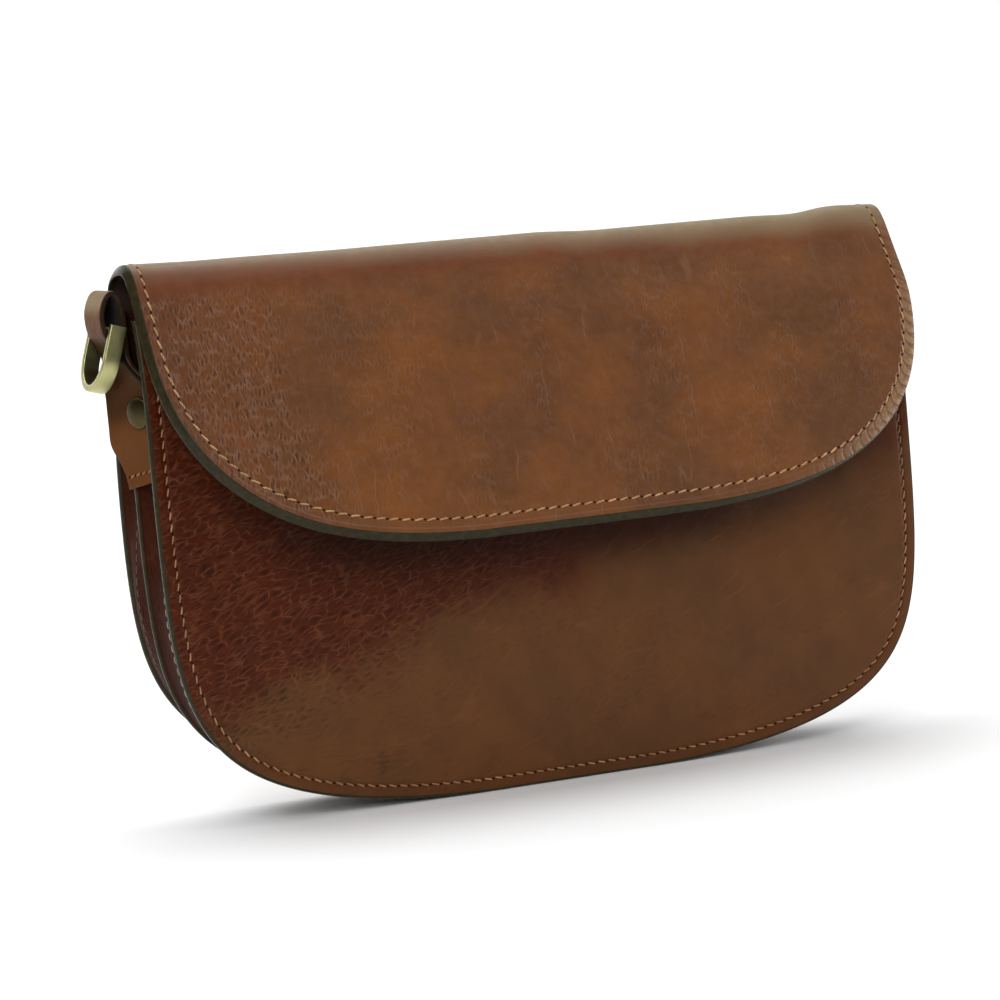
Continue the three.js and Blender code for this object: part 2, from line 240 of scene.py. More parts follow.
def fade(tree, value, start, end, before=0.0, after=1.0):
    """A smooth change from before to after as value goes from start to end."""
    node = put(tree, "ShaderNodeMapRange", {"Value": value}, interpolation_type="SMOOTHSTEP")
    for key, number in {"From Min": start, "From Max": end, "To Min": before, "To Max": after}.items():
        if isinstance(number, bpy.types.NodeSocket):
            tree.links.new(number, node.inputs[key])
        else:
            node.inputs[key].default_value = number
    return node.outputs["Result"]


def tint(tree, share, first, second, blend="MIX"):
    """The first colour with a share of the second laid over it."""
    node = put(tree, "ShaderNodeMix", {0: share, 6: first, 7: second}, data_type="RGBA", blend_type=blend)
    return node.outputs[2]


def cloud(tree, where, size, detail=3.0, roughness=0.55):
    """Soft noise whose lumps are about size millimetres across."""
    return put(tree, "ShaderNodeTexNoise", {
        "Vector": where, "Scale": 1 / size, "Detail": detail, "Roughness": roughness}).outputs["Fac"]


def stretched(tree, where, wide, long, turn=0):
    """Places measured in steps of wide across and long along, turned by some degrees."""
    turned = put(tree, "ShaderNodeMapping", {"Vector": where, "Rotation": (0, 0, math.radians(turn))},
                 vector_type="TEXTURE").outputs["Vector"]
    steps = (1 / wide, 1 / long, 1)
    return put(tree, "ShaderNodeMapping", {"Vector": turned, "Scale": steps}).outputs["Vector"]


def solid_place(tree):
    """Where a point is on the bag, in millimetres."""
    where = put(tree, "ShaderNodeTexCoord").outputs["Object"]
    return put(tree, "ShaderNodeVectorMath", {0: where, 3: 1 / MM}, operation="SCALE").outputs[0]


def new_finish(name):
    """A new material with one plain shader in it."""
    finish = bpy.data.materials.new(name)
    finish.use_nodes = True
    tree = finish.node_tree
    tree.nodes.clear()
    shader = tree.nodes.new("ShaderNodeBsdfPrincipled")
    output = tree.nodes.new("ShaderNodeOutputMaterial")
    tree.links.new(shader.outputs["BSDF"], output.inputs["Surface"])
    return finish, tree, shader


def creases(tree, where, spacing, length, turn, wide):
    """Wandering lines about spacing apart and length long: 1 along a line's middle, 0 away from it."""
    field = cloud(tree, stretched(tree, where, spacing, length, turn), 1.0, 0.6)
    off = sums(tree, "ABSOLUTE", sums(tree, "SUBTRACT", field, 0.5))
    return fade(tree, off, 0.0, wide, 1.0, 0.0)


def roughen(tree, shader, height):
    """Gives a finish its fine relief, from heights in millimetres."""
    bump = put(tree, "ShaderNodeBump", {"Height": height, "Strength": 1.0, "Distance": MM})
    tree.links.new(bump.outputs["Normal"], shader.inputs["Normal"])


def hide(name, deep, brown, warm, line, deep_zone, grain, grain_zone, veins, gloss, shine=0.2,
         fold=None, shaded_creases=None, pale_rim=None, sheen=0.0, loop=None):
    """Hand-stained full-grain leather: cloudy colour, a net of creases, long veins and pores.

    Places are in millimetres on the flat cut. A zone grows from none to full along its weighted x and
    y. grain's colour, rise and outside are the net's share of the line colour, its height and its
    strength outside its zone. The net's pale lines are partly pale creases and partly a painted
    highlight on its ridges, and its hollows are darkened as painted shade, as is any place the mesh
    marks as shaded. Some pieces also have a stretched fold with a painted highlight on its top and a
    painted dark band below it, creases darkened as painted shade, a pale puckered rim that is less
    pale between its puckers as painted shade, or a loop with a painted highlight on its top.
    """
    finish, tree, shader = new_finish(name)
    cut = put(tree, "ShaderNodeUVMap", uv_map="cut").outputs["UV"]
    x, y, _ = put(tree, "ShaderNodeSeparateXYZ", {0: cut}).outputs
    rim = put(tree, "ShaderNodeAttribute", attribute_name="rim").outputs["Fac"]
    covered = put(tree, "ShaderNodeAttribute", attribute_name="covered").outputs["Fac"]

    def times(a, b):
        return sums(tree, "MULTIPLY", a, b)

    def plus(a, b):
        return sums(tree, "ADD", a, b)

    def minus(a, b):
        return sums(tree, "SUBTRACT", a, b)

    # Clouds push the edge of every zone to and fro.
    spread = times(minus(cloud(tree, cut, 34), 0.5), 50)

    def zone(facts):
        place = plus(times(x, facts["x"]), times(y, facts["y"]))
        return fade(tree, plus(place, spread), facts["none"], facts["full"])

    # Two sizes of drift bend every line of the grain.
    bent = cut
    for size, reach in ((7, 2.6), (1.6, 0.6)):
        drift = put(tree, "ShaderNodeTexNoise", {
            "Vector": cut, "Scale": 1 / size, "Detail": 1.0}).outputs["Color"]
        drift = put(tree, "ShaderNodeVectorMath", {
            0: drift, 1: (0.5, 0.5, 0.5)}, operation="SUBTRACT").outputs[0]
        bent = put(tree, "ShaderNodeVectorMath", {0: drift, 1: (reach, reach, 0), 2: bent},
                   operation="MULTIPLY_ADD").outputs[0]

    # The net of creases is broken up by clouds, and is pulled smooth over a fold.
    folded = 0.0
    if fold:
        on_front = fade(tree, y, *fold["begins"])
        folded = times(fade(tree, y, *fold["ends"], 1.0, 0.0), on_front)
    grained = minus(1.0, folded)
    spacing, length, turn = grain["spacing"], grain["length"], grain["turn"]
    cell_edge = put(tree, "ShaderNodeTexVoronoi", {
        "Vector": stretched(tree, bent, spacing, length, turn), "Scale": 1.0},
        feature="DISTANCE_TO_EDGE", voronoi_dimensions="2D").outputs["Distance"]
    broken = fade(tree, cloud(tree, cut, 3), 0.38, 0.66, 0.1, 1.0)
    net = times(fade(tree, cell_edge, 0.0, grain["wide"], grain["cells"], 0.0), broken)
    fine = creases(tree, bent, spacing * 1.3, length * 3, turn - 3, 0.045)
    fine = times(fine, fade(tree, cloud(tree, cut, 6), 0.4, 0.6, 0.0, 0.6))
    net = sums(tree, "MAXIMUM", net, fine)
    hollow = times(fade(tree, cell_edge, 0.12, 0.4), fade(tree, cloud(tree, cut, 3), 0.35, 0.65))
    patches = fade(tree, cloud(tree, stretched(tree, cut, 20, 60, turn), 1.0, 2.0), 0.42, 0.6, 0.3, 2.0)
    share = fade(tree, zone(grain_zone), 0.0, 1.0, times(patches, grain["outside"]), 1.0)
    share = times(share, grained)
    long_veins = creases(tree, bent, veins["spacing"], veins["length"], veins["turn"], 0.022)
    long_veins = times(times(long_veins, fade(tree, cloud(tree, cut, 16), 0.46, 0.64)), grained)
    pores = cloud(tree, cut, 0.6, 2.0)

    # Colour: cloudy brown, darker in its zone, with a fold's painted dark band and painted highlight,
    # or a loop's painted highlight, laid over it.
    base = tint(tree, fade(tree, cloud(tree, cut, 38, 4.0), 0.36, 0.66), brown, warm)
    base = tint(tree, times(zone(deep_zone), 0.94), base, deep)
    if fold:
        # The fold gets a painted dark band, and its top a pale painted highlight with a wavering edge.
        base = tint(tree, times(folded, 0.6), base, fold["colour"])
        uneven = times(minus(cloud(tree, cut, 22), 0.5), 9)
        uneven = plus(plus(y, times(x, -0.028)), uneven)
        fold_highlight = times(fade(tree, uneven, *fold["highlight_ends"], 0.75, 0.0), on_front)
        base = tint(tree, fold_highlight, base, fold["paled"])
    # A painted highlight on the top of a loop, where light falls on it.
    if loop:
        outer = fade(tree, y, loop["from"], loop["full"])
        outer = times(outer, fade(tree, y, loop["full"], loop["to"], 1.0, 0.0))
        base = tint(tree, outer, base, loop["colour"])

    # Tone and shade: mottled tone, with painted shade in the hollows between the grain's ridges, along
    # the dark creases and where the mesh marks shade, as under the flap.
    tone_and_shade = fade(tree, cloud(tree, bent, 11, 4.0), 0.3, 0.7, 0.93, 1.07)
    tone_and_shade = minus(tone_and_shade, times(times(hollow, share), 0.5))
    # Dark creases: painted shade along them.
    if shaded_creases:
        crease_shade = creases(tree, bent, shaded_creases["spacing"], shaded_creases["length"], shaded_creases["turn"], 0.05)
        crease_shade = times(crease_shade, fade(tree, cloud(tree, cut, 9), 0.42, 0.6))
        tone_and_shade = minus(tone_and_shade, times(times(crease_shade, zone(shaded_creases["zone"])), shaded_creases["dark"]))
    tone_and_shade = times(tone_and_shade, fade(tree, covered, 0.0, 1.0, 1.0, 0.4))
    grey = put(tree, "ShaderNodeCombineColor", {0: tone_and_shade, 1: tone_and_shade, 2: tone_and_shade}).outputs[0]
    base = tint(tree, 1.0, base, grey, "MULTIPLY")

    # Pale lines of the grain and the veins, partly pale creases and partly a painted highlight on the
    # ridges, dimmed where shade is painted; and a darker rim outside the seam.
    lines = times(times(net, share), grain["colour"])
    lines = sums(tree, "MAXIMUM", lines, times(long_veins, veins["colour"]), clamp=True)
    base = tint(tree, times(lines, fade(tree, covered, 0.0, 1.0, 1.0, 0.3)), base, line)
    base = tint(tree, fade(tree, rim, 3.2, 4.8, 0.2, 0.0), base, deep)

    # Relief: the net, the veins, the pores and broad soft swells, and the raised puckers of a pale rim.
    height = plus(times(times(net, share), grain["rise"]), times(long_veins, grain["rise"] * 0.6))
    height = plus(height, times(pores, 0.006))
    swells = cloud(tree, stretched(tree, bent, 4, 10, turn), 1.0, 2.0)
    height = plus(height, times(times(swells, 0.1), grained))
    # A pale rim outside the seam, paler on its puckers and less pale between them as painted shade.
    if pale_rim:
        pale = times(fade(tree, rim, 3.7, 4.3, 1.0, 0.0), fade(tree, x, *pale_rim["x"]))
        along = put(tree, "ShaderNodeAttribute", attribute_name="along").outputs["Fac"]
        pull = sums(tree, "SINE", times(plus(along, times(rim, 0.9)), 2 * math.pi / pale_rim["pitch"]))
        pucker = fade(tree, pull, -1.0, 0.0, 0.35, 1.0)
        pale = times(pale, fade(tree, y, *pale_rim["y"], 0.25, 1.0))
        paled = times(pucker, fade(tree, cloud(tree, cut, 1.6), 0.3, 0.6, 0.45, 0.9))
        base = tint(tree, times(pale, paled), base, pale_rim["colour"])
        height = plus(height, times(times(pale, pucker), 0.4))
    tree.links.new(base, shader.inputs["Base Color"])

    # The seam pulls the leather in, and the fold is duller where its highlight is painted.
    off_seam = sums(tree, "ABSOLUTE", minus(rim, SEAM_IN))
    height = plus(height, fade(tree, off_seam, 0.25, 1.2, -0.22, 0.0))
    roughen(tree, shader, height)
    dull = fade(tree, cloud(tree, cut, 3, 4.0), 0.3, 0.7, gloss - 0.05, gloss + 0.08)
    if fold:
        dull = plus(dull, times(fold_highlight, 0.3))
    tree.links.new(plus(dull, times(pores, 0.04)), shader.inputs["Roughness"])
    shader.inputs["Specular IOR Level"].default_value = shine
    shader.inputs["Sheen Weight"].default_value = sheen
    shader.inputs["Sheen Roughness"].default_value = 0.3
    shader.inputs["Sheen Tint"].default_value = (0.86, 0.90, 0.62, 1)
    return finish


def lighter_or_darker(colour, times, added=0.0):
    """A colour's second tone, for a finish that isn't even."""
    return tuple(min(c * times + added, 1) for c in colour[:3]) + (1,)


def edge_paint(name, colour):
    """Thick glossy paint brushed over the cut edge, slightly uneven."""
    finish, tree, shader = new_finish(name)
    uneven = cloud(tree, solid_place(tree), 2.2, 3.0)
    pale = lighter_or_darker(colour, 1.5)
    tree.links.new(tint(tree, fade(tree, uneven, 0.35, 0.72), colour, pale), shader.inputs["Base Color"])
    roughen(tree, shader, sums(tree, "MULTIPLY", uneven, 0.1))
    shader.inputs["Roughness"].default_value = 0.25
    shader.inputs["Specular IOR Level"].default_value = 0.12
    return finish


def flesh_side(name, colour):
    """The fibrous back of the leather, plain and matt."""
    finish, tree, shader = new_finish(name)
    fibres = cloud(tree, solid_place(tree), 0.5, 4.0, 0.7)
    dark = lighter_or_darker(colour, 0.62)
    tree.links.new(tint(tree, fade(tree, fibres, 0.3, 0.7), dark, colour), shader.inputs["Base Color"])
    roughen(tree, shader, sums(tree, "MULTIPLY", fibres, 0.12))
    shader.inputs["Roughness"].default_value = 0.85
    return finish


def thread_finish(name, colour):
    """Waxed twisted thread: light and dark bands across its length, the dark ones painted shade in the
    grooves between its plies.
    """
    finish, tree, shader = new_finish(name)
    along = put(tree, "ShaderNodeUVMap", uv_map="cut").outputs["UV"]
    plies = put(tree, "ShaderNodeTexWave", {"Vector": along, "Scale": 0.7, "Distortion": 0.6},
                bands_direction="DIAGONAL").outputs["Fac"]
    twisted = tint(tree, fade(tree, plies, 0.2, 0.8), lighter_or_darker(colour, 0.55), colour)
    faded = lighter_or_darker(colour, 1.5, added=0.02)
    paled = fade(tree, cloud(tree, solid_place(tree), 6), 0.45, 0.7, 0.0, 0.6)
    tree.links.new(tint(tree, paled, twisted, faded), shader.inputs["Base Color"])
    roughen(tree, shader, sums(tree, "MULTIPLY", plies, 0.08))
    shader.inputs["Roughness"].default_value = 0.5
    shader.inputs["Specular IOR Level"].default_value = 0.15
    return finish


def needle_hole_finish():
    """The mouth of a needle hole, painted dark as the shade inside it."""
    finish, tree, shader = new_finish("needle_hole")
    depth = fade(tree, cloud(tree, solid_place(tree), 0.6), 0.3, 0.7)
    tree.links.new(tint(tree, depth, (0.018, 0.008, 0.003, 1), (0.045, 0.019, 0.007, 1)),
                   shader.inputs["Base Color"])
    shader.inputs["Roughness"].default_value = 0.9
    shader.inputs["Specular IOR Level"].default_value = 0.05
    return finish


THREAD_SIDES, THREAD_RINGS = 6, 7
THREAD_SUNK, THREAD_ARCH = 0.2, 0.32
THREAD_STARTS, THREAD_RUNS = 0.11, 0.78
HOLE_SIDES = 8
HOLE_LONG, HOLE_WIDE, HOLE_DEEP, HOLE_PROUD = 0.5, 0.36, 0.4, 0.03


def sew(name, line, place, pitch, finishes, thick=0.31, slant=0.42):
    """A row of stitches along a flat line: each thread rises out of one hole and into the next.

    thick is the thread's radius, and slant how far its ends stand off the line to either side.
    """
    length = np.linalg.norm(np.diff(line, axis=0), axis=1).sum()
    holes = evenly(line, max(int(round(length / pitch)), 1) + 1)
    side = inward(holes)
    u, v = holes.T
    nudge = 0.05
    at = place(u, v, 0)
    du = place(u + nudge, v, 0) - place(u - nudge, v, 0)
    dv = place(u, v + nudge, 0) - place(u, v - nudge, 0)
    out = np.cross(du, dv)
    out /= np.linalg.norm(out, axis=1)[:, None]
    inside = place(u, v, 0.5) - at
    out *= -np.sign((out * inside).sum(1))[:, None]
    across = (du * side[:, :1] + dv * side[:, 1:]) / (2 * nudge)
    points, faces, kinds, uv = [], [], [], []
    sides, rings = THREAD_SIDES, THREAD_RINGS
    for k in range(len(holes) - 1):
        begin = at[k] + across[k] * slant
        end = at[k + 1] - across[k + 1] * slant
        up = (out[k] + out[k + 1]) / 2
        run = end - begin
        cross = np.cross(run, up)
        cross /= np.linalg.norm(cross)
        first = len(points)
        for r in range(rings):
            t = THREAD_STARTS + THREAD_RUNS * r / (rings - 1)
            arch = math.sin(math.pi * r / (rings - 1)) ** 0.6
            middle = begin + run * t + up * (THREAD_ARCH * arch - THREAD_SUNK)
            wide = thick * (0.55 + 0.45 * arch)
            for c in range(sides):
                a = 2 * math.pi * c / sides
                points.append(middle + cross * (wide * math.cos(a)) + up * (wide * 0.8 * math.sin(a)))
                uv.append((t * pitch + k * pitch, 2 * c / sides))
        for r in range(rings - 1):
            for c in range(sides):
                a, b = first + r * sides + c, first + r * sides + (c + 1) % sides
                faces.append((a, b, b + sides, a + sides))
                kinds.append(0)
        faces.append(tuple(range(first + sides - 1, first - 1, -1)))
        faces.append(tuple(range(first + (rings - 1) * sides, first + rings * sides)))
        kinds += [0, 0]
    # Each hole is a dark disc just proud of the leather, painting the shade inside the hole.
    for k in range(len(holes)):
        run = np.cross(out[k], across[k])
        mouth = at[k] + out[k] * HOLE_PROUD
        first = len(points)
        for c in range(HOLE_SIDES):
            a = 2 * math.pi * c / HOLE_SIDES
            points.append(mouth + run * (HOLE_LONG * math.cos(a)) + across[k] * (HOLE_WIDE * math.sin(a)))
        points.append(at[k] - out[k] * HOLE_DEEP)
        uv += [(0, 0)] * (HOLE_SIDES + 1)
        faces.append(tuple(range(first, first + HOLE_SIDES)))
        faces += [(first + (c + 1) % HOLE_SIDES, first + c, first + HOLE_SIDES) for c in range(HOLE_SIDES)]
        kinds += [1] * (HOLE_SIDES + 1)
    return new_piece(name, np.array(points), faces, finishes, kinds, np.array(uv))


def panel_place(face, top, bulge, back=1):
    """Sets a point of a flat panel into the bag; depth runs from the face into the leather."""
    def place(u, v, depth):
        dome = (1 - np.clip(u / HALF_WIDTH, -1, 1) ** 2) * np.sin(np.pi * np.clip(v / top, 0, 1))
        return np.stack([u, face_depth(face, v) - bulge * dome + back * depth, v + 0 * u], 1)
    return place


def round_rim(wall, reach=0.9):
    """A cut edge rounded from face to flesh side, as (distance in from the cut, depth)."""
    turn = np.linspace(0, np.pi, 11)
    return [(reach * (1 - math.sin(a)), wall / 2 * (1 - math.cos(a))) for a in turn]


EDGE_GREY = edge_paint("edge_paint", (0.0215, 0.0178, 0.0078, 1))
FLESH = flesh_side("flesh_side", (0.040, 0.018, 0.010, 1))
FRONT_THREAD = thread_finish("front_thread", (0.36, 0.175, 0.080, 1))
NEEDLE_HOLE = needle_hole_finish()
FRONT_HIDE = hide(
    "front_leather",
    deep=(0.055, 0.0088, 0.0016, 1), brown=(0.086, 0.0345, 0.0112, 1), warm=(0.105, 0.0385, 0.0112, 1),
    line=(0.22, 0.075, 0.032, 1), gloss=0.34, shine=0.12,
    deep_zone={"x": -0.25, "y": 1, "none": 50, "full": 73},
    grain={"spacing": 1.7, "length": 4.5, "turn": -66, "wide": 0.11, "colour": 0.45, "rise": 0.05,
           "outside": 0.12, "cells": 0.8},
    grain_zone={"x": -0.5, "y": 1, "none": 50, "full": 90},
    veins={"spacing": 9, "length": 60, "turn": -60, "colour": 0.18},
    # Painted shade along creases at the lower left.
    shaded_creases={"spacing": 2.2, "length": 14, "turn": -88, "dark": 0.25,
            "zone": {"x": -1, "y": -0.9, "none": 0, "full": 60}})
# The flap's shadow is painted onto the front panel: it fades in over a strip below the flap's edge and is
# weaker towards the left, where light reaches under the flap.
DARK_STRIP = {"below": 26, "fade": 22}
LESS_AT_LEFT = {"from": -118, "over": 50, "least": 0.25, "more": 0.55}


def painted_flap_shadow(x, z):
    """How strongly the flap's shadow is painted onto a point of the front panel."""
    across = np.clip(np.abs(x) / FLAP_OUTLINE["half"], 0, 0.999) ** FLAP_OUTLINE["swell"]
    climb = 1 - (1 - across) ** (1 / FLAP_OUTLINE["roundness"])
    edge = FLAP_LOW_EDGE + FLAP_OUTLINE["reach"] * climb
    t = np.clip((z - edge + DARK_STRIP["below"]) / DARK_STRIP["fade"], 0, 1)
    lit = np.clip((x - LESS_AT_LEFT["from"]) / LESS_AT_LEFT["over"], 0, 1)
    return t * t * (3 - 2 * t) * (LESS_AT_LEFT["least"] + LESS_AT_LEFT["more"] * lit)


front_place = panel_place(FRONT_FACE, FRONT_TOP, FRONT_BULGE)
front_cut = panel_cut(FRONT_OUTLINE, FRONT_TOP, 361)
front_panel = leather_cut(
    "front_panel_leather", front_cut, np.array([0, FRONT_TOP]), round_rim(PANEL_WALL), front_place,
    [FRONT_HIDE, EDGE_GREY, FLESH], cover=painted_flap_shadow)
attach(front_panel, "bag")
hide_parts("front_panel")
front_line = front_cut + inward(front_cut) * SEAM_IN
front_seam = sew("front_panel_stitches", front_line, front_place, FRONT_STITCH, [FRONT_THREAD, NEEDLE_HOLE],
                 thick=0.27)
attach(front_seam, "bag")

# Divider: a thinner leather wall between the two compartments; only its painted edge shows,
# as a thin grey line down the side between the two gussets it is sewn to.
DIVIDER_OUTLINE = {"half": HALF_WIDTH, "reach": 208, "roundness": 11.6, "swell": 2, "flat": 0.7}
DIVIDER_FACE = {"foot": 11.3, "lean": 0.035, "bend_start": 100, "bend": -0.0012}
DIVIDER_TOP = 149
DIVIDER_WALL = 2.0
divider_place = panel_place(DIVIDER_FACE, DIVIDER_TOP, 0)
divider_cut = panel_cut(DIVIDER_OUTLINE, DIVIDER_TOP, 301)
divider = leather_cut(
    "divider_leather", divider_cut, np.array([0, DIVIDER_TOP]), round_rim(DIVIDER_WALL, 0.7), divider_place,
    [FLESH, EDGE_GREY, FLESH], loops=12)
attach(divider, "bag")
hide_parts("divider_panel")

# Back panel: the rear wall, cut like the front but with rounder lower corners. Its seam runs
# round the base and up both sides, and the flap's tail is sewn over its top.
BACK_OUTLINE = {"half": HALF_WIDTH, "reach": 208, "roundness": 11, "swell": 1.5, "flat": 1.5}
BACK_FACE = {"foot": 32, "lean": 0, "bend_start": 90, "bend": -0.00194}
BACK_TOP = 152
BACK_HIDE = hide(
    "back_leather",
    deep=(0.058, 0.012, 0.005, 1), brown=(0.078, 0.029, 0.011, 1), warm=(0.098, 0.034, 0.012, 1),
    line=(0.22, 0.085, 0.04, 1), gloss=0.4,
    deep_zone={"x": 0.3, "y": -1, "none": 10, "full": -90},
    grain={"spacing": 1.6, "length": 4.5, "turn": 20, "wide": 0.18, "colour": 0.24, "rise": 0.05,
           "outside": 0.2, "cells": 0.8},
    grain_zone={"x": 1, "y": 0, "none": -60, "full": 120},
    veins={"spacing": 9, "length": 60, "turn": 30, "colour": 0.08})
BACK_SEAM_TOP = 120
back_place = panel_place(BACK_FACE, BACK_TOP, 0, back=-1)
back_cut = panel_cut(BACK_OUTLINE, BACK_TOP, 361)
back_panel = leather_cut(
    "back_panel_leather", back_cut, np.array([0, BACK_TOP]), round_rim(PANEL_WALL), back_place,
    [BACK_HIDE, EDGE_GREY, FLESH])
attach(back_panel, "bag")
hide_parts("back_panel")
back_line = back_cut + inward(back_cut) * SEAM_IN
back_seam = sew("back_panel_stitches", back_line[back_line[:, 1] < BACK_SEAM_TOP], back_place, FRONT_STITCH,
                [FRONT_THREAD, NEEDLE_HOLE])
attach(back_seam, "bag")

# Gussets: two dark leather strips, front to divider and divider to back, running down one side,
# under the base and up the other. They fold inwards near the mouth, and each is sewn by one row.
GUSSET_WALL = 1.8
GUSSET_TOP = 152
GUSSET_LENGTH = 480
GUSSET_WIDTH = 14
GAP = 0.3
SEAM_STEP = 0.6
STEP_RUN = 12
HOLLOW = 0.8
# Shade painted onto the gussets, darker towards the top near the mouth.
SHADED_MOUTH = {"from": 95, "to": 135, "share": 0.9}
NO_SEAM = 20.0
PALE_THREAD = thread_finish("front_gusset_thread", (0.36, 0.27, 0.20, 1))
DARK_THREAD = thread_finish("rear_gusset_thread", (0.15, 0.075, 0.040, 1))
GUSSETS = {
    "front_gusset": {
        "outlines": (FRONT_OUTLINE, DIVIDER_OUTLINE), "sewn_to": (front_panel, divider),
        "fold": {"deep": 7, "from": 60, "to": 120}, "swell": {"high": 0, "from": 30, "full": 68, "to": 106},
        "seam_at": 0.24, "thread": PALE_THREAD,
    },
    "rear_gusset": {
        "outlines": (DIVIDER_OUTLINE, BACK_OUTLINE), "sewn_to": (divider, back_panel),
        "fold": {"deep": 4, "from": 60, "to": 130}, "swell": {"high": 2, "from": 30, "full": 68, "to": 106},
        "seam_at": 0.42, "thread": DARK_THREAD,
    },
}
SIDE_HIDE = hide(
    "gusset_leather",
    deep=(0.022, 0.0046, 0.0020, 1), brown=(0.030, 0.0070, 0.0030, 1), warm=(0.040, 0.0105, 0.0045, 1),
    line=(0.12, 0.05, 0.026, 1), gloss=0.5, shine=0.02,
    deep_zone={"x": 1, "y": 0, "none": -40, "full": 40},
    grain={"spacing": 1.6, "length": 3, "turn": 80, "wide": 0.16, "colour": 0.2, "rise": 0.04,
           "outside": 0.5, "cells": 0.8},
    grain_zone={"x": 1, "y": 0, "none": -300, "full": 300},
    veins={"spacing": 6, "length": 20, "turn": 80, "colour": 0.2})


def smooth(value, start, end):
    """A smooth change from 0 to 1 as value goes from start to end."""
    t = np.clip((value - start) / (end - start), 0, 1)
    return t * t * (3 - 2 * t)


def gusset_place(facts, front_at, back_at):
    """Sets a point of a gusset, at share u of its length and share v across, into the bag."""
    stations = np.linspace(0, 1, 401)
    edges = []
    for outline in facts["outlines"]:
        line = panel_cut(outline, GUSSET_TOP, 2001)
        steps = np.linalg.norm(np.diff(line, axis=0), axis=1)
        share = np.concatenate([[0], np.cumsum(steps)]) / steps.sum()
        edges.append(np.stack([np.interp(stations, share, line[:, k]) for k in range(2)], 1))
    fold, swell = facts["fold"], facts["swell"]

    def between_edges(u, v):
        front, back = (np.stack([np.interp(u, stations, edge[:, k]) for k in range(2)], 1) for edge in edges)
        return front * (1 - v)[:, None] + back * v[:, None]

    def place(u, v, depth):
        v = np.clip(v, 0, 1)
        spots = between_edges(u, v)
        run = between_edges(u + 0.002, v) - between_edges(u - 0.002, v)
        run /= np.linalg.norm(run, axis=1)[:, None]
        z = spots[:, 1]
        folded = fold["deep"] * smooth(z, fold["from"], fold["to"])
        swollen = swell["high"] * smooth(z, swell["from"], swell["full"])
        swollen *= 1 - smooth(z, swell["full"], swell["to"])
        low = np.minimum(z / STEP_RUN, 1)
        curve = np.sin(np.pi * v)
        inset = SEAM_STEP * low + (folded - swollen) * curve + HOLLOW * low * curve ** 0.5 + depth
        x = spots[:, 0] - run[:, 1] * inset
        height = z + run[:, 0] * inset
        y = front_at(height) * (1 - v) + back_at(height) * v
        return np.stack([x, y, height], 1)
    return place


def gusset_strip(name, place, finishes, along=300, across=14):
    """The strip's two faces and its rim as one closed mesh."""
    u, v = np.meshgrid(np.linspace(0, 1, along + 1), np.linspace(0, 1, across + 1), indexing="ij")
    u, v = u.ravel(), v.ravel()
    points = np.concatenate([place(u, v, 0), place(u, v, GUSSET_WALL)])
    uv = np.concatenate([np.stack([(u - 0.5) * GUSSET_LENGTH, v * GUSSET_WIDTH], 1)] * 2)
    rim = np.full(len(points), NO_SEAM)
    stride, sheet = across + 1, len(u)
    faces, kinds = [], []
    for i in range(along):
        for j in range(across):
            a = i * stride + j
            faces.append((a, a + 1, a + stride + 1, a + stride))
            faces.append((sheet + a, sheet + a + stride, sheet + a + stride + 1, sheet + a + 1))
            kinds += [0, 1]
    edge = [*range(stride), *(i * stride + across for i in range(1, along + 1))]
    edge += [along * stride + j for j in range(across - 1, -1, -1)]
    edge += [i * stride for i in range(along - 1, 0, -1)]
    for a, b in zip(edge, edge[1:] + edge[:1]):
        faces.append((a, sheet + a, sheet + b, b))
        kinds.append(0)
    # Painted shade: darker towards the mouth.
    shaded = SHADED_MOUTH["share"] * smooth(points[:, 2], SHADED_MOUTH["from"], SHADED_MOUTH["to"])
    return new_piece(name, points, faces, finishes, kinds, uv, rim=rim, covered=shaded)


seats = {
    "front_gusset": (lambda z: face_depth(FRONT_FACE, z) + PANEL_WALL + GAP,
                     lambda z: face_depth(DIVIDER_FACE, z) - GAP),
    "rear_gusset": (lambda z: face_depth(DIVIDER_FACE, z) + DIVIDER_WALL + GAP,
                    lambda z: face_depth(BACK_FACE, z) - PANEL_WALL - GAP),
}
for strip_name, (front_at, back_at) in seats.items():
    strip_facts = GUSSETS[strip_name]
    strip_place = gusset_place(strip_facts, front_at, back_at)
    strip = gusset_strip(strip_name + "_leather", strip_place, [SIDE_HIDE, FLESH])
    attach(strip, "bag")
    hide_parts(strip_name)
    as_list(strip_facts["sewn_to"])

    def row_place(u, v, depth):
        return strip_place(u / GUSSET_LENGTH, strip_facts["seam_at"] + v / GUSSET_WIDTH, depth)

    seam = np.stack([np.linspace(SEAM_IN, GUSSET_LENGTH - SEAM_IN, 400), np.zeros(400)], 1)
    stitches = sew(strip_name + "_stitches", seam, row_place, FRONT_STITCH,
                   [strip_facts["thread"], NEEDLE_HOLE], thick=0.25, slant=0.1)
    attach(stitches, "bag")

# Flap: two plies of leather bonded into one stiff cut. It is sewn to the back, turns over the
# mouth in a soft fold and slopes down the front; its edge is bevelled and painted.
FLAP_WALL = 3.0
FLAP_BEVEL = 1.9
FLAP_STITCH = 3.85
# Down its middle, from the tail at the back over the fold to the front edge: (y, z).
FLAP_PROFILE = [
    (33.3, 122), (32.2, 130), (30.4, 140), (28.4, 150), (27.2, 157.5), (24, 161.7), (19, 163.9),
    (13, 164.6), (8.2, 163.3), (4.8, 159.6), (2.4, 155.6), (-1.9, 147.8), (-7.4, 138),
    (-13.3, 125.5), (-21, 110), (-28, 95), (-33.3, FLAP_LOW_EDGE),
]
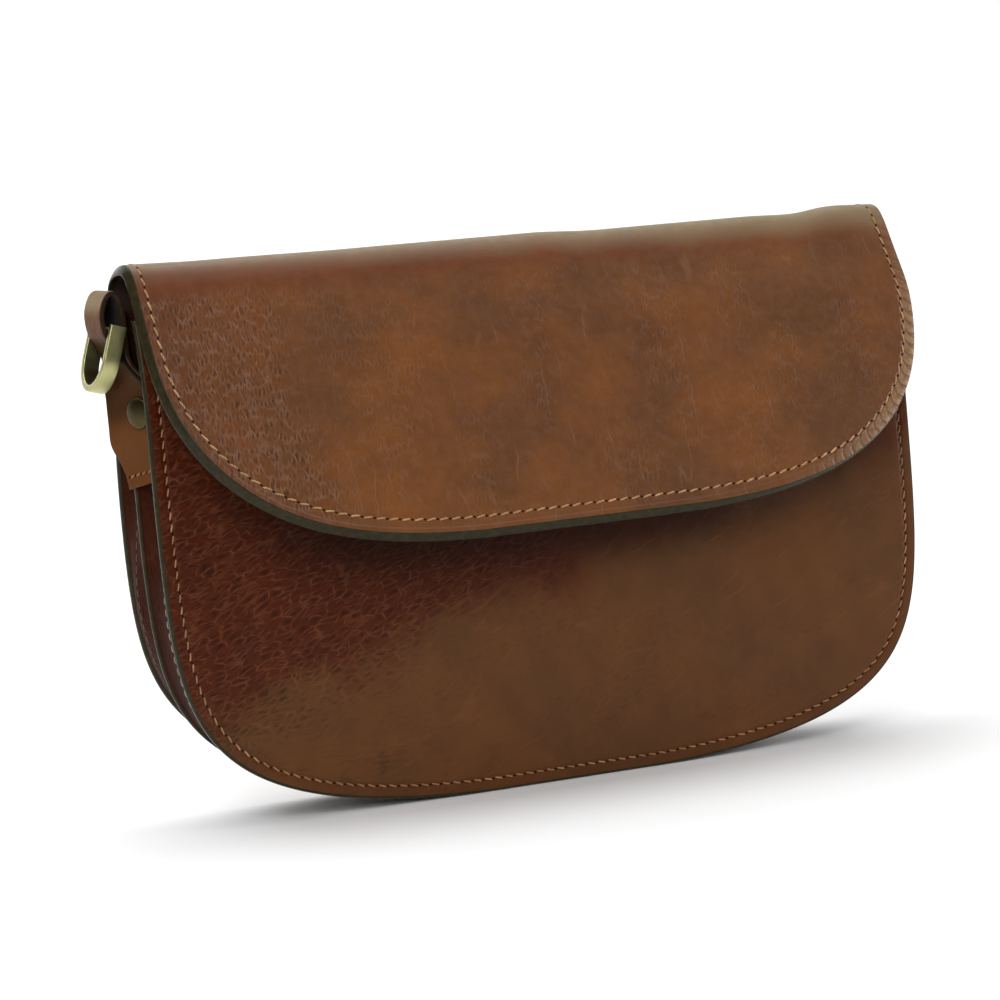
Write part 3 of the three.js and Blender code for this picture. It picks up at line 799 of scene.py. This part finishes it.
# How the top of the fold waves across the bag: (x, lift).
TOP_LINE = [
    (-125, 1.4), (-98, 0.7), (-50, 0.1), (8, -0.2), (28, -1.2), (80, -1.4), (97, -2), (110, -0.5),
    (125, -1.2),
]
WAVES_FADE_IN = (138, 160)
WAVE_SOFTENING = 21
TAIL_ROW_HALF = 120
FLAP_SEAM_STARTS = 3


def smooth_line(points, steps):
    """A smooth line through points, with steps to each span."""
    points = np.asarray(points, float)
    ends = np.concatenate([points[:1], points, points[-1:]])
    line = []
    for k in range(len(points) - 1):
        p0, p1, p2, p3 = ends[k:k + 4]
        v0, v1 = (p2 - p0) / 2, (p3 - p1) / 2
        cubic = 2 * p1 - 2 * p2 + v0 + v1
        square = -3 * p1 + 3 * p2 - 2 * v0 - v1
        for t in np.arange(steps) / steps:
            line.append(cubic * t ** 3 + square * t ** 2 + v0 * t + p1)
    return np.array(line + [points[-1]])


flap_curve = evenly(smooth_line(FLAP_PROFILE, 60), 1601)
FLAP_LENGTH = np.linalg.norm(np.diff(flap_curve, axis=0), axis=1).sum()
flap_along = np.linspace(0, FLAP_LENGTH, len(flap_curve))
flap_run = np.gradient(flap_curve, axis=0)
flap_run /= np.linalg.norm(flap_run, axis=1)[:, None]
flap_top = flap_along[np.argmax(flap_curve[:, 1])]
wave_x = np.linspace(-130, 130, 521)
wave_knots = np.array(TOP_LINE)
wave_row = np.clip(np.searchsorted(wave_knots[:, 0], wave_x) - 1, 0, len(wave_knots) - 2)
wave_share = smooth(wave_x, wave_knots[wave_row, 0], wave_knots[wave_row + 1, 0])
wave_lift = wave_knots[wave_row, 1] * (1 - wave_share) + wave_knots[wave_row + 1, 1] * wave_share
wave_lift = np.convolve(np.pad(wave_lift, WAVE_SOFTENING // 2, mode="edge"),
                        np.ones(WAVE_SOFTENING) / WAVE_SOFTENING, mode="valid")


def flap_place(u, v, depth):
    """Sets a point of the flat flap into the bag: u across, v along from the tail to the front edge."""
    over = np.maximum(v - FLAP_LENGTH, 0)
    point = np.stack([np.interp(v, flap_along, flap_curve[:, k]) for k in range(2)], 1)
    run = np.stack([np.interp(v, flap_along, flap_run[:, k]) for k in range(2)], 1)
    point += run * over[:, None]
    lift = np.interp(u, wave_x, wave_lift) * smooth(point[:, 1], *WAVES_FADE_IN)
    return np.stack([u, point[:, 0] - run[:, 1] * depth, point[:, 1] + run[:, 0] * depth + lift], 1)


def flap_cut_line(count):
    """The flap's cut line in the flat: up its right side, round the front edge and back down the left."""
    front = flap_along >= flap_top
    height = np.where(front, np.maximum(flap_curve[:, 1] - FLAP_LOW_EDGE, 0), FLAP_OUTLINE["reach"])
    half = half_width_at(FLAP_OUTLINE, height)
    right = np.stack([half, flap_along], 1)
    return evenly(np.concatenate([right, right[::-1] * (-1, 1)]), count)


flap_face_line = flap_cut_line(481)
# The bevel is widest along the front edge, and narrow at the fold and towards the right.
TO_RIGHT = (20, 100)
bevel = FLAP_BEVEL * np.interp(flap_face_line[:, 1], [flap_top, 100, 142], [0.12, 0.22, 1])
bevel *= np.interp(flap_face_line[:, 0], TO_RIGHT, [1, 0.35])
flap_line = flap_face_line - inward(flap_face_line) * bevel[:, None]
flap_rim = [
    (FLAP_BEVEL, 0), (1.7, 0.05), (1.5, 0.22), (1.2, 0.6), (0.8, 1.15), (0.4, 1.75), (0.12, 2.3),
    (0.02, 2.65), (0.1, 2.88), (0.35, 2.98), (0.7, FLAP_WALL),
]
FLAP_HIDE = hide(
    "flap_leather",
    deep=(0.104, 0.035, 0.014, 1), brown=(0.104, 0.039, 0.0138, 1), warm=(0.155, 0.053, 0.0135, 1),
    line=(0.26, 0.138, 0.080, 1), gloss=0.34, shine=0.33, sheen=0.25,
    deep_zone={"x": -1, "y": -0.25, "none": 40, "full": 120},
    grain={"spacing": 1.2, "length": 3.6, "turn": 4, "wide": 0.2, "colour": 0.36, "rise": 0.07,
           "outside": 0.2, "cells": 0.85},
    grain_zone={"x": -1, "y": 0.1, "none": 80, "full": 104},
    veins={"spacing": 9, "length": 70, "turn": 2, "colour": 0.2},
    # The fold's colour is a painted dark band, and its pale top a painted highlight.
    fold={"begins": (30, 48), "ends": (65, 72), "colour": (0.125, 0.034, 0.010, 1),
          "highlight_ends": (54, 66), "paled": (0.20, 0.148, 0.072, 1)},
    # A pale rim at the right, less pale between its puckers as painted shade.
    pale_rim={"x": (60, 112), "y": (75, 105), "pitch": FLAP_STITCH, "colour": (0.27, 0.16, 0.082, 1)})
flap = leather_cut(
    "flap_leather", flap_line, np.array([0.0, 0.0]), flap_rim, flap_place, [FLAP_HIDE, EDGE_GREY, FLESH],
    loops=70, slope=np.interp(flap_face_line[:, 0], TO_RIGHT, [1, 0.3]))
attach(flap, "bag")
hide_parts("flap")
FLAP_THREAD = thread_finish("flap_thread", (0.45, 0.25, 0.112, 1))
flap_seam_line = flap_face_line + inward(flap_face_line) * SEAM_IN
flap_seam_line = flap_seam_line[flap_seam_line[:, 1] > FLAP_SEAM_STARTS]
flap_seam = sew("flap_stitches", flap_seam_line, flap_place, FLAP_STITCH, [FLAP_THREAD, NEEDLE_HOLE])
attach(flap_seam, "bag")
tail_line = np.stack([np.linspace(-TAIL_ROW_HALF, TAIL_ROW_HALF, 200), np.full(200, SEAM_IN)], 1)
tail_seam = sew("flap_tail_stitches", tail_line, flap_place, FLAP_STITCH, [FLAP_THREAD, NEEDLE_HOLE])
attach(tail_seam, "bag")

# Side tabs: a tan strap end folded round the ring's bar at each side, riveted through both plies
# and caught down at its lower end by a short row of stitches.
TAB_WALL = 1.5
TAB_HALF = 7.6
TAB_ROUND = 0.4
TAB_END_ROUND = 0.3
TAB_HINGE_Y = 15.2
# fold runs from the lower end up the outside, round the bar and down behind: (out from the side, z).
# By height z, the tab's middle lies at y, with half its width, its turn about z and its roll in degrees.
# loop is where the turn round the bar spreads, and by how much.
TABS = {
    "left": {
        "side": -1,
        "fold": [
            (1.3, 102), (1.4, 109), (2.9, 115.5), (3, 121), (3, 130), (3.1, 138), (4.8, 142.5), (7.1, 147),
            (7.6, 152.6), (5.9, 157.2), (3.7, 158.2), (1.7, 155.4), (1.15, 149), (1.1, 134), (1.1, 118.5),
        ],
        "z": (101, 116, 128, 141), "y": (9.6, 11, 11.4, 16), "half": (6, 8.6, 8.4, 7.3),
        "turn": (24, 26, 26, 0), "roll": (13, 8, 7, 0), "loop": {"from": 145, "full": 151, "more": 1.3},
    },
    "right": {
        "side": 1,
        "fold": [
            (1.3, 96), (1.4, 103), (2.9, 109.5), (3, 115), (3, 124), (3.1, 131), (5.2, 135.6), (6.9, 139.8),
            (6.3, 143.2), (4.1, 144.7), (1.8, 143.4), (1.1, 140), (1.1, 128), (1.1, 112.5),
        ],
        "z": (95, 110), "y": (19, 19), "half": (6.6, 7.3),
        "turn": (0, 0), "roll": (0, 0), "loop": {"from": 200, "full": 201, "more": 0},
    },
}
# Shade painted onto each tab along its middle, between the rivet and the ring, where the ring and the flap
# shade it.
TAB_SHADE = {"from": (14, 24), "to": (40, 50), "share": 0.89}
END_ROW = {"half": 5.8, "up": 3.4, "stitch": 2.9}
TAB_HIDE = hide(
    "tab_leather",
    deep=(0.102, 0.036, 0.0085, 1), brown=(0.114, 0.040, 0.009, 1), warm=(0.136, 0.046, 0.010, 1),
    line=(0.22, 0.11, 0.06, 1), gloss=0.42, shine=0.06,
    deep_zone={"x": 1, "y": 0, "none": -60, "full": 60},
    grain={"spacing": 1.4, "length": 3, "turn": 10, "wide": 0.16, "colour": 0.12, "rise": 0.03,
           "outside": 0.1, "cells": 0.8},
    grain_zone={"x": 1, "y": 0, "none": 100, "full": 200},
    veins={"spacing": 6, "length": 20, "turn": 20, "colour": 0.15},
    # The loop's paler top is a painted highlight.
    loop={"from": 50, "full": 55, "to": 62, "colour": (0.235, 0.165, 0.088, 1)})
# The inside of each tab's fold is a darker copy of the flesh side: painted shade inside the loop.
TAB_INSIDE_SHADED = flesh_side("tab_inside_shaded", (0.018, 0.008, 0.005, 1))
TAB_EDGE = edge_paint("tab_edge", (0.022, 0.011, 0.006, 1))


def tab_shape(tab, z, key):
    """One of a tab's measures at a height, changing smoothly from one row to the next."""
    knots, values = np.array(tab["z"], float), np.array(tab[key], float)
    row = np.clip(np.searchsorted(knots, z) - 1, 0, len(knots) - 2)
    share = smooth(z, knots[row], knots[row + 1])
    return values[row] * (1 - share) + values[row + 1] * share


def tab_surface(tab, out, across, z):
    """A point of a tab: out from the bag's side, across its width (-1 to 1), at a height."""
    turn, roll = np.radians(tab_shape(tab, z, "turn")), np.radians(tab_shape(tab, z, "roll"))
    along = across * tab_shape(tab, z, "half")
    y = tab_shape(tab, z, "y") + along * np.cos(roll) * np.cos(turn)
    turned = out + (y - TAB_HINGE_Y) * np.tan(turn)
    return np.stack([tab["side"] * (HALF_WIDTH + turned), y, z - along * np.sin(roll)], -1)


def tab_place(tab):
    """Sets a point of the flat tab into the bag: u across in mm, v along from its lower end."""
    curve = evenly(smooth_line(tab["fold"], 40), 801)
    length = np.linalg.norm(np.diff(curve, axis=0), axis=1).sum()
    along = np.linspace(0, length, len(curve))
    run = np.gradient(curve, axis=0)
    run /= np.linalg.norm(run, axis=1)[:, None]
    loop = tab["loop"]

    def place(u, v, depth):
        out, z = (np.interp(v, along, curve[:, k]) for k in range(2))
        run_out, run_z = (np.interp(v, along, run[:, k]) for k in range(2))
        thick = 1 + loop["more"] * smooth(z, loop["from"], loop["full"]) * smooth(u, 0, TAB_HALF)
        deep = TAB_WALL / 2 - depth * thick
        return tab_surface(tab, out + run_z * deep, u / TAB_HALF, z - run_out * deep)
    return place, length


def tab_section(inset):
    """The tab's rounded section, drawn in by inset, as (across, depth) points from the face round it."""
    flat, deep, radius = TAB_HALF - TAB_ROUND, TAB_WALL - TAB_ROUND, TAB_ROUND - inset
    turn = np.linspace(0, np.pi / 2, 4)
    face = np.stack([np.linspace(-flat, flat, 11), np.full(11, inset)], 1)
    over = np.stack([flat + radius * np.sin(turn), TAB_ROUND - radius * np.cos(turn)], 1)[1:]
    under = np.stack([flat + radius * np.cos(turn), deep + radius * np.sin(turn)], 1)[:-1]
    half_way = np.concatenate([face, over, under])
    return np.concatenate([half_way, half_way * (-1, -1) + (0, TAB_WALL)])


# The finish of each strip round the section: face, one edge, inside, other edge.
section_finish = [0] * 10 + [1] * 7 + [2] * 10 + [1] * 7
for side_name, tab_facts in TABS.items():
    place, tab_length = tab_place(tab_facts)
    ends = TAB_END_ROUND * (1 - np.cos(np.linspace(0, np.pi / 2, 4)))
    middle = np.linspace(ends[-1], tab_length - ends[-1], 219)[1:-1]
    stations = np.concatenate([ends, middle, tab_length - ends[::-1]])
    to_end = np.minimum(np.minimum(stations, tab_length - stations), TAB_END_ROUND)
    shrink = TAB_END_ROUND - np.sqrt(TAB_END_ROUND ** 2 - (TAB_END_ROUND - to_end) ** 2)
    u_flat, deep = np.concatenate([tab_section(inset) for inset in shrink]).T
    around = len(section_finish)
    v_flat = np.repeat(stations, around)
    points = place(u_flat, v_flat, deep)
    faces, kinds = [], []
    for i in range(len(stations) - 1):
        for c in range(around):
            a, b = i * around + c, i * around + (c + 1) % around
            faces.append((a, b, b + around, a + around))
            kinds.append(section_finish[c])
    faces += [tuple(range(around)), tuple(range(len(points) - around, len(points)))]
    kinds += [1, 1]
    # Painted shade along the tab's middle.
    shaded = smooth(v_flat, *TAB_SHADE["from"]) * (1 - smooth(v_flat, *TAB_SHADE["to"]))
    tab = new_piece(side_name + "_tab_leather", points, faces, [TAB_HIDE, TAB_EDGE, TAB_INSIDE_SHADED], kinds,
                    np.stack([u_flat, v_flat], 1), rim=np.full(len(points), NO_SEAM),
                    covered=TAB_SHADE["share"] * shaded)
    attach(tab, "bag")
    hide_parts(side_name + "_ring_tab")
    row = np.stack([np.linspace(-END_ROW["half"], END_ROW["half"], 60), np.full(60, END_ROW["up"])], 1)
    tab_stitches = sew(side_name + "_tab_stitches", row, place, END_ROW["stitch"],
                       [FRONT_THREAD, NEEDLE_HOLE], thick=0.28)
    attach(tab_stitches, "bag")

# Rivets: a low domed cap of antique brass on each tab. Its post goes through the tab's plies and
# is clenched behind them, out of sight.
RIVETS = {"left": {"z": 122.6, "across": -0.62}, "right": {"z": 117, "across": 0}}
RIVET_FACE = 3.75
RIVET_SIDES = 48
# From the middle of the dome over its rim and down the post: (radius, height).
RIVET_CAP = [
    (0.5, 1.315), (1.5, 1.27), (2.8, 1.13), (3.7, 0.94), (4.15, 0.8), (4.4, 0.66), (4.52, 0.44), (4.5, 0.2),
    (4.35, 0), (1.6, 0), (1.6, -3.1),
]


def brass_finish(name, bright, dark):
    """Antique brass: smooth pale metal, a little darker in patches, with faint brush marks."""
    finish, tree, shader = new_finish(name)
    where = solid_place(tree)
    drawn = put(tree, "ShaderNodeMapping", {"Vector": where, "Scale": (1, 1, 7)}).outputs["Vector"]
    brushed = cloud(tree, drawn, 3, 4.0)
    stain = fade(tree, cloud(tree, where, 3.5, 4.0, 0.6), 0.45, 0.75, 0.0, 0.3)
    tree.links.new(tint(tree, stain, bright, dark), shader.inputs["Base Color"])
    tree.links.new(fade(tree, brushed, 0.3, 0.7, 0.3, 0.4), shader.inputs["Roughness"])
    roughen(tree, shader, sums(tree, "MULTIPLY", brushed, 0.004))
    shader.inputs["Metallic"].default_value = 1.0
    return finish


RIVET_BRASS = brass_finish("rivet_brass", (0.072, 0.055, 0.022, 1), (0.042, 0.031, 0.013, 1))
for side_name, rivet_facts in RIVETS.items():
    tab_facts = TABS[side_name]
    rivet_z = np.array(rivet_facts["z"])
    turn = math.radians(float(tab_shape(tab_facts, rivet_z, "turn")))
    outward = Vector((tab_facts["side"] * math.cos(turn), -math.sin(turn), 0))
    foot = Vector(tab_surface(tab_facts, RIVET_FACE, rivet_facts["across"], rivet_z))
    foot += outward * GAP
    spin = Vector((0, 0, 1)).rotation_difference(outward).to_matrix()
    around = RIVET_SIDES
    points, faces = [], []
    for radius, height in RIVET_CAP:
        for k in range(around):
            a = 2 * math.pi * k / around
            points.append(tuple(foot + spin @ Vector((radius * math.cos(a), radius * math.sin(a), height))))
    for r in range(len(RIVET_CAP) - 1):
        for k in range(around):
            a, b = r * around + k, r * around + (k + 1) % around
            faces.append((a, a + around, b + around, b))
    faces += [tuple(range(around)), tuple(range(len(points) - 1, len(points) - around - 1, -1))]
    rivet = new_piece(side_name + "_rivet_cap", np.array(points), faces, [RIVET_BRASS], [0] * len(faces))
    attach(rivet, "bag")
    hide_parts(side_name + "_rivet")

# Strap rings: a flat brass band bent into a U, closed across its top by a round bar that turns
# in the tab's fold. Each one swings on its bar.
RING_RADIUS = 9.05
RING_BAND = 2.0
RING_WIDTH = 5.0
RING_HEAD = 2.0
RING_LEG = 7.95
RING_ROUND = 0.38
BAR_RADIUS = 1.6
BAR_HALF = 8.4
BAR_SIDES, BAR_RINGS = 32, 9
BARS = {"left": (-129.2, 16, 147), "right": (129.2, 19, 140)}
RING_TILT = math.radians(17)
RING_BRASS = brass_finish("ring_brass", (0.46, 0.44, 0.205, 1), (0.28, 0.26, 0.13, 1))
# The ring's inner faces take a darker copy of the brass: a painted dark reflection.
RING_SHADED_INSIDE = brass_finish("ring_shaded_inside_brass", (0.22, 0.215, 0.11, 1), (0.15, 0.14, 0.075, 1))
for side_name, seat in BARS.items():
    path = [(-RING_RADIUS, z, 0.0) for z in np.linspace(RING_HEAD, -RING_LEG, 9)]
    path += [(-RING_RADIUS * math.cos(a), -RING_LEG - RING_RADIUS * math.sin(a), a)
             for a in np.linspace(0, math.pi, 49)[1:-1]]
    path += [(RING_RADIUS, z, math.pi) for z in np.linspace(-RING_LEG, RING_HEAD, 9)]
    section = []
    for sx, sy in ((1, 1), (-1, 1), (-1, -1), (1, -1)):
        first = math.atan2(sy, sx) - math.pi / 4
        for a in np.linspace(first, first + math.pi / 2, 5):
            section.append((sx * (RING_WIDTH / 2 - RING_ROUND) + RING_ROUND * math.cos(a),
                            sy * (RING_BAND / 2 - RING_ROUND) + RING_ROUND * math.sin(a)))
    points, faces, kinds = [], [], []
    for y, z, a in path:
        out_y, out_z = -math.cos(a), -math.sin(a)
        for wide, thick in section:
            points.append((wide, y + out_y * thick, z + out_z * thick))
    ring_size = len(section)
    for k in range(len(path) - 1):
        for c in range(ring_size):
            a, b = k * ring_size + c, k * ring_size + (c + 1) % ring_size
            faces.append((a, b, b + ring_size, a + ring_size))
            inside = max(section[c][1], section[(c + 1) % ring_size][1]) < -RING_BAND / 2 + 0.05
            kinds.append(1 if inside else 0)
    faces.append(tuple(range(ring_size - 1, -1, -1)))
    faces.append(tuple(range((len(path) - 1) * ring_size, len(path) * ring_size)))
    first = len(points)
    for y in np.linspace(-BAR_HALF, BAR_HALF, BAR_RINGS):
        for c in range(BAR_SIDES):
            a = 2 * math.pi * c / BAR_SIDES
            points.append((BAR_RADIUS * math.cos(a), y, BAR_RADIUS * math.sin(a)))
    for r in range(BAR_RINGS - 1):
        for c in range(BAR_SIDES):
            a, b = first + r * BAR_SIDES + c, first + r * BAR_SIDES + (c + 1) % BAR_SIDES
            faces.append((a, b, b + BAR_SIDES, a + BAR_SIDES))
    faces += [tuple(range(first + BAR_SIDES - 1, first - 1, -1)),
              tuple(range(len(points) - BAR_SIDES, len(points)))]
    kinds += [0] * (len(faces) - len(kinds))
    tilt = Matrix.Rotation(-TABS[side_name]["side"] * RING_TILT, 3, "Y")
    points = np.array([tuple(Vector(seat) + tilt @ Vector(p)) for p in points])
    ring = new_piece(side_name + "_ring_band", points, faces, [RING_BRASS, RING_SHADED_INSIDE], kinds)
    crisp = ring.modifiers.new("crisp_ends", "EDGE_SPLIT")
    crisp.split_angle = math.radians(40)
    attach(ring, side_name + "_ring")
    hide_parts(side_name + "_ring")

# Studio: a white sweep of floor and back wall under a broad soft light overhead. A second one
# stands behind the bag, one at the front left lights its face, and a low one its right side.
SWEEP_FRONT, SWEEP_LIFT, SWEEP_RADIUS, SWEEP_HALF = -0.6, 0.5, 3.0, 3
SWEEP_TURN = math.radians(50)
sweep_turn = np.linspace(0, SWEEP_TURN, 25)
sweep_line = np.concatenate([
    [(SWEEP_FRONT, 0)],
    np.stack([SWEEP_LIFT + SWEEP_RADIUS * np.sin(sweep_turn), SWEEP_RADIUS * (1 - np.cos(sweep_turn))], 1)])
wide = len(sweep_line)
sweep_points = np.concatenate([
    np.stack([np.full(wide, x), *sweep_line.T], 1) for x in (-SWEEP_HALF, SWEEP_HALF)]) / MM
paper, paper_tree, paper_shader = new_finish("white_paper")
paper_tone = fade(paper_tree, cloud(paper_tree, solid_place(paper_tree), 300), 0.3, 0.7)
paper_tree.links.new(tint(paper_tree, paper_tone, (0.93, 0.93, 0.93, 1), (0.95, 0.95, 0.95, 1)),
                     paper_shader.inputs["Base Color"])
paper_shader.inputs["Roughness"].default_value = 0.9
sweep_faces = [(k, k + 1, wide + k + 1, wide + k) for k in range(wide - 1)]
floor = new_piece("floor", sweep_points, sweep_faces, [paper], [0] * len(sweep_faces))
SOFTBOXES = {
    "top_softbox": {"from": (0, 0.85, 1.7), "at": (0, 0.85, 0), "size": (3.2, 2.5), "glow": 2.2},
    "back_softbox": {"from": (0, 2.4, 1.35), "at": (0, 0, 0.16), "size": (3.0, 1.1), "glow": 0.9},
    "left_softbox": {"from": (-0.95, -1.35, 0.95), "at": (0, 0, 0.09), "size": (0.9, 1.1), "glow": 6.5},
    "right_softbox": {"from": (1.35, -0.55, 0.4), "at": (0, 0, 0.09), "size": (0.8, 0.7), "glow": 6.0},
}
for box_name, box in SOFTBOXES.items():
    light = bpy.data.lights.new(box_name, "AREA")
    light.shape = "RECTANGLE"
    light.size, light.size_y = box["size"]
    light.energy = box["glow"] * math.pi * light.size * light.size_y
    lamp = bpy.data.objects.new(box_name, light)
    lamp.location = box["from"]
    lamp.rotation_euler = (Vector(box["at"]) - Vector(box["from"])).to_track_quat("-Z", "Y").to_euler()
    bpy.context.scene.collection.objects.link(lamp)
world = bpy.data.worlds.new("studio")
world.use_nodes = True
world.node_tree.nodes["Background"].inputs["Color"].default_value = (1, 1, 1, 1)
world.node_tree.nodes["Background"].inputs["Strength"].default_value = 0.05
bpy.context.scene.world = world
bpy.context.scene.view_settings.view_transform = "Standard"

bpy.context.view_layer.update()
